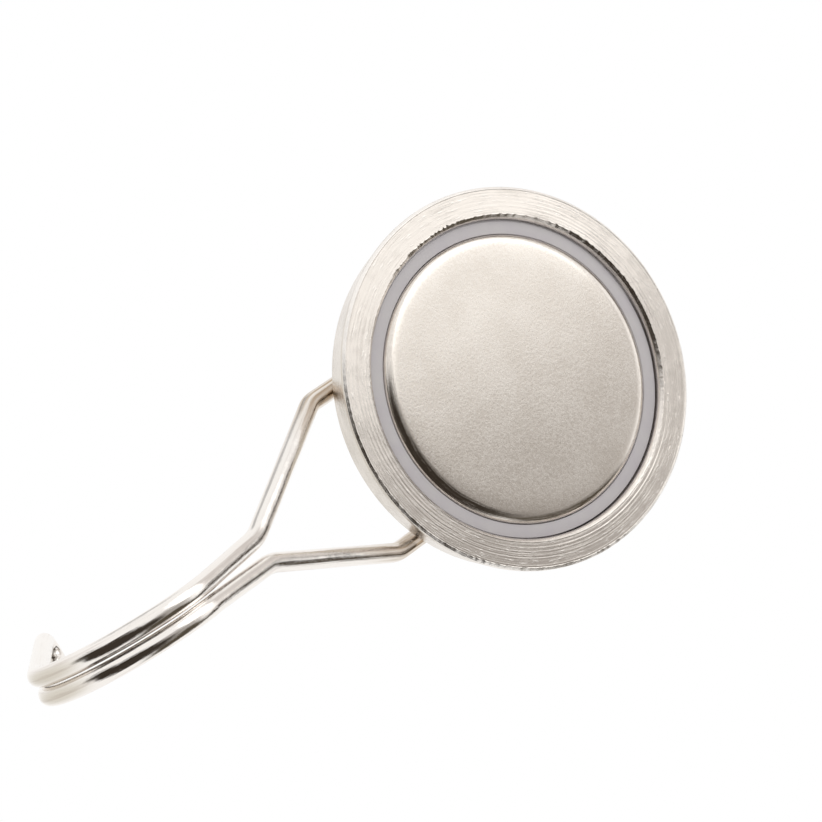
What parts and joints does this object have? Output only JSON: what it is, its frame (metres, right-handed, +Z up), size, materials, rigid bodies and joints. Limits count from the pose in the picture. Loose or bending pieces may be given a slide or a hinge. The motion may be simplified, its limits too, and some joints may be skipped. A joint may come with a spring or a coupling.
{
  "type": "swivelling magnetic wire hook",
  "caption": "Round pot magnet with a flat resin-set magnet face and, on its back, a turning bracket that carries a swinging doubled-wire hook.",
  "frame": {"origin": "centre of the magnet's gripping face, on the plane of the cup's rim", "axes": "-Z out of the gripping face, +Z up through the swivel on the back, -Y towards the hook as it lies at rest, X along the axis the hook swings about"},
  "size_m": [0.036, 0.0736, 0.0318],
  "materials": {
    "cup_steel": "nickel plated, finely turned on the face and lightly satin on the side",
    "magnet_plating": "satin nickel plating over sintered magnet",
    "resin": "smooth grey potting resin with a faint lavender cast",
    "adhesive": "cured adhesive film, hidden",
    "rivet_steel": "bright nickel plated",
    "washer_steel": "zinc plated, satin",
    "bracket_steel": "nickel plated pressed sheet",
    "hook_wire": "bright nickel plated drawn wire"
  },
  "bodies": {
    "base": {"cup": "cup_steel", "magnet": "magnet_plating", "resin_ring": "resin", "adhesive_layer": "adhesive", "swivel_rivet": "rivet_steel", "swivel_washer": "washer_steel"},
    "swivel": {"swivel_bracket": "bracket_steel"},
    "hook": {"wire_hook": "hook_wire"}
  },
  "joints": [
    {"name": "bracket_swivel", "type": "hinge", "parent": "base", "child": "swivel", "pos_m": [0, 0, 0], "axis": [0, 0, 1], "continuous": true},
    {"name": "hook_swing", "type": "hinge", "parent": "swivel", "child": "hook", "pos_m": [0, 0, 0.0093], "axis": [-1, 0, 0], "range_deg": [0, 207]}
  ]
}
